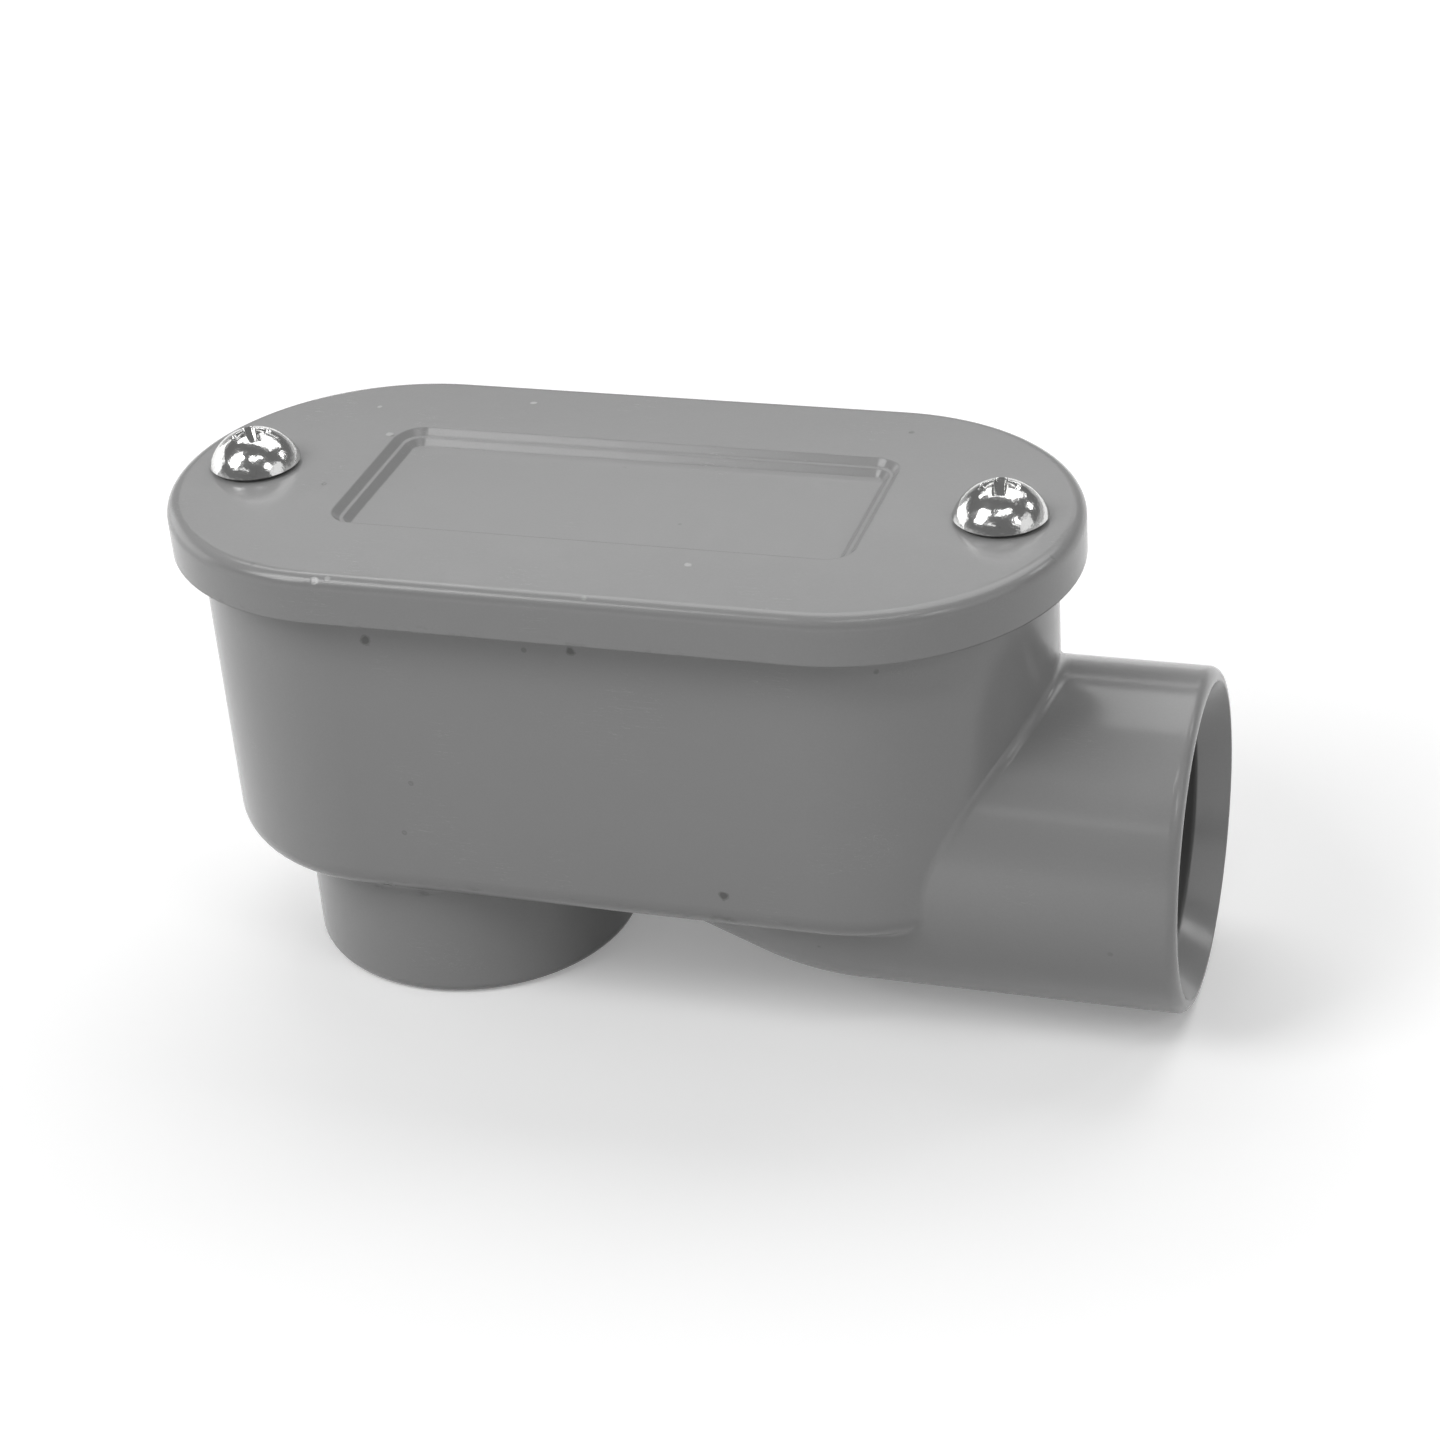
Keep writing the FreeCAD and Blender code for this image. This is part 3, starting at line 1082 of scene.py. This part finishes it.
        ridges = tree.node("GeometryNodeTransform", None, lowered)
        screw = tree.joined(ridges, Wire(tree, tree.entry.outputs["Geometry"]))
        turned = {"Geometry": screw, "Translation": seat, "Rotation": stop}
        tree.close(tree.node("GeometryNodeTransform", None, turned), finish)
        return tree

    def build(self) -> None:
        """Makes both screws, each riding on its own body."""
        finish = PlatedSteel("plated_steel").build()
        tree = self.thread_tree()
        tip, bare = -self.shank_length, self.tip_length * self.thread_tip
        length = self.shank_length - bare - self.thread_neck
        common = {
            "Turns": length / self.pitch,
            "Thread Radius": (self.root_radius + self.ridge_sink) * MM,
            "Ridge Size": (self.crest_radius - self.root_radius - self.ridge_sink) * MM,
            "Thread Length": length * MM,
            "Thread Foot": (0.0, 0.0, (tip + bare) * MM),
            "Finish": finish,
        }
        for place in ScrewPlace:
            body, node, stop = place.value
            low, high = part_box(node)
            seat = Vector(((low.x + high.x) / 2, (low.y + high.y) / 2, low.z - tip * MM))
            own = {"Seat": seat, "Stop Angle": (0.0, 0.0, math.radians(stop))}
            carrier = new_object(f"{node}_blank", self.blank())
            mesh = tree.apply(carrier, {**common, **own})
            bpy.data.objects.remove(carrier)
            screw = new_object(f"{node}_threaded", mesh)
            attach(screw, body)
            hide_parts(node)
            LOG.info("%s: %d faces", screw.name, len(mesh.polygons))


# ---------------------------------------------------------------- studio


def outward(azimuth: float, elevation: float) -> Vector:
    """Direction away from the fitting.

    Args:
        azimuth: degrees round from -Y towards +X.
        elevation: degrees above the floor.

    Returns:
        A vector of length 1.
    """
    turn, rise = math.radians(azimuth), math.radians(elevation)
    flat = math.cos(rise)
    return Vector((math.sin(turn) * flat, -math.cos(turn) * flat, math.sin(rise)))


@dataclass(frozen=True)
class Lamp:
    """Rectangular soft light that faces the fitting.

    Attributes:
        name: name of the light.
        azimuth: degrees round from -Y towards +X.
        elevation: degrees above the floor.
        distance: metres from the fitting.
        size: width and height, in metres.
        radiance: brightness of its face, where 1 is white.
    """

    name: str
    azimuth: float
    elevation: float
    distance: float
    size: tuple[float, float]
    radiance: float

    def build(self, aim: Vector) -> None:
        """Hangs the light.

        Args:
            aim: point that it faces.
        """
        light = bpy.data.lights.new(self.name, "AREA")
        light.shape = "RECTANGLE"
        light.size, light.size_y = self.size
        light.energy = self.radiance * math.pi * self.size[0] * self.size[1]
        away = outward(self.azimuth, self.elevation)
        lamp = bpy.data.objects.new(self.name, light)
        lamp.location = aim + away * self.distance
        lamp.rotation_euler = away.to_track_quat("Z", "Y").to_euler()
        bpy.context.scene.collection.objects.link(lamp)


@dataclass
class Studio:
    """Pale floor, soft lights and camera.

    Attributes:
        azimuth: degrees of the camera round from -Y towards +X.
        elevation: degrees of the camera above the floor.
        roll: degrees that the camera is tilted by.
        distance: millimetres from the camera to its target.
        target: point that the camera faces, in millimetres.
        lens: focal length, in millimetres.
        sensor: width of the sensor, in millimetres.
        shift: shift of the lens, as shares of the sensor.
        nearest: nearest distance that the camera sees, in metres.
        floor_side: side of the floor, in metres.
        ambient: brightness of the room overhead.
        horizon: brightness of the room down near the floor.
        horizon_band: height of a direction between which one goes over into the other.
        lamps: lights of the studio.
    """

    azimuth: float = 19.72
    elevation: float = 30.04
    roll: float = -4.86
    distance: float = 262.74
    target: Point = (20.75, 0.0, 7.51)
    lens: float = 81.13
    sensor: float = 36.0
    shift: tuple[float, float] = (0.0174, -0.0063)
    nearest: float = 0.01
    floor_side: float = 40.0
    ambient: float = 0.16
    horizon: float = 0.5
    horizon_band: Span = (0.26, 0.08)
    lamps: tuple[Lamp, ...] = (
        Lamp("overhead", 178.0, 58.0, 0.9, (0.9, 0.6), 2.0),
        Lamp("ceiling_strip", 28.0, 64.0, 1.2, (0.6, 0.09), 6.0),
        Lamp("rear_strip", 191.0, 28.0, 1.3, (0.9, 0.06), 2.2),
        Lamp("front_left_window", -50.0, 46.0, 1.2, (0.5, 0.65), 5.3),
        Lamp("front_right_window", 58.0, 38.0, 1.2, (0.26, 0.26), 3.2),
        Lamp("back_left_window", -130.0, 50.0, 1.2, (0.4, 0.15), 3.5),
        Lamp("back_right_window", 124.0, 33.0, 1.2, (0.2, 0.2), 4.5),
        Lamp("left_low_window", -103.0, 13.0, 1.2, (1.0, 0.5), 1.4),
        Lamp("right_wall", 78.0, 24.0, 1.2, (0.8, 0.5), 0.75),
        Lamp("front_strip", -13.0, 36.0, 1.3, (0.5, 0.08), 1.6),
    )

    def floor(self) -> None:
        """Lays the floor under the fitting."""
        half, low = self.floor_side / 2, CAD_BOX[0][2]
        work = bmesh.new()
        corners = [(-half, -half), (half, -half), (half, half), (-half, half)]
        work.faces.new([work.verts.new((x, y, low)) for x, y in corners])
        mesh = bpy.data.meshes.new("floor")
        work.to_mesh(mesh)
        work.free()
        mesh.materials.append(PaperSweep("paper_sweep").build())
        new_object("floor", mesh)

    def camera(self) -> None:
        """Sets the camera up."""
        turn, roll = math.radians(self.azimuth), math.radians(self.roll)
        back = outward(self.azimuth, self.elevation)
        right = Vector((math.cos(turn), math.sin(turn), 0.0))
        up = back.cross(right)
        tilted_right = right * math.cos(roll) + up * math.sin(roll)
        tilted_up = up * math.cos(roll) - right * math.sin(roll)
        place = (Vector(self.target) + back * self.distance) * MM
        data = bpy.data.cameras.new("camera")
        data.lens = self.lens
        data.sensor_width = self.sensor
        data.shift_x, data.shift_y = self.shift
        data.clip_start = self.nearest
        camera = bpy.data.objects.new("camera", data)
        turned = Matrix((tilted_right, tilted_up, back)).transposed().to_4x4()
        camera.matrix_world = Matrix.Translation(place) @ turned
        bpy.context.scene.collection.objects.link(camera)
        bpy.context.scene.camera = camera

    def world(self) -> None:
        """Gives the room its dim even light, with paler walls down near the floor."""
        room = bpy.data.worlds.new("room")
        room.use_nodes = True
        room.node_tree.nodes.clear()
        graph = Graph(room.node_tree)
        direction = graph.node("ShaderNodeTexCoord", output="Generated")
        height = graph.node("ShaderNodeSeparateXYZ", values={0: direction}, output="Z")
        pale = height.rise(*self.horizon_band) * (self.horizon - self.ambient)
        values = {"Color": WHITE, "Strength": pale + self.ambient}
        sky = graph.node("ShaderNodeBackground", None, values)
        end = room.node_tree.nodes.new("ShaderNodeOutputWorld")
        room.node_tree.links.new(sky.socket, end.inputs["Surface"])
        bpy.context.scene.world = room

    def build(self) -> None:
        """Sets up the whole studio."""
        low, high = (Vector(corner) for corner in CAD_BOX)
        aim = (low + high) / 2
        self.floor()
        self.camera()
        self.world()
        for lamp in self.lamps:
            lamp.build(aim)
        bpy.context.scene.view_settings.view_transform = "Standard"
        LOG.info("studio: %d lamps", len(self.lamps))


def main() -> None:
    """Dresses each sub-assembly in turn, then sets up the studio."""
    logging.basicConfig(level=logging.INFO, format="%(name)s: %(message)s")
    WiringBox().build()
    Cover().build()
    CoverScrews().build()
    Studio().build()


if __name__ == "__main__":
    main()
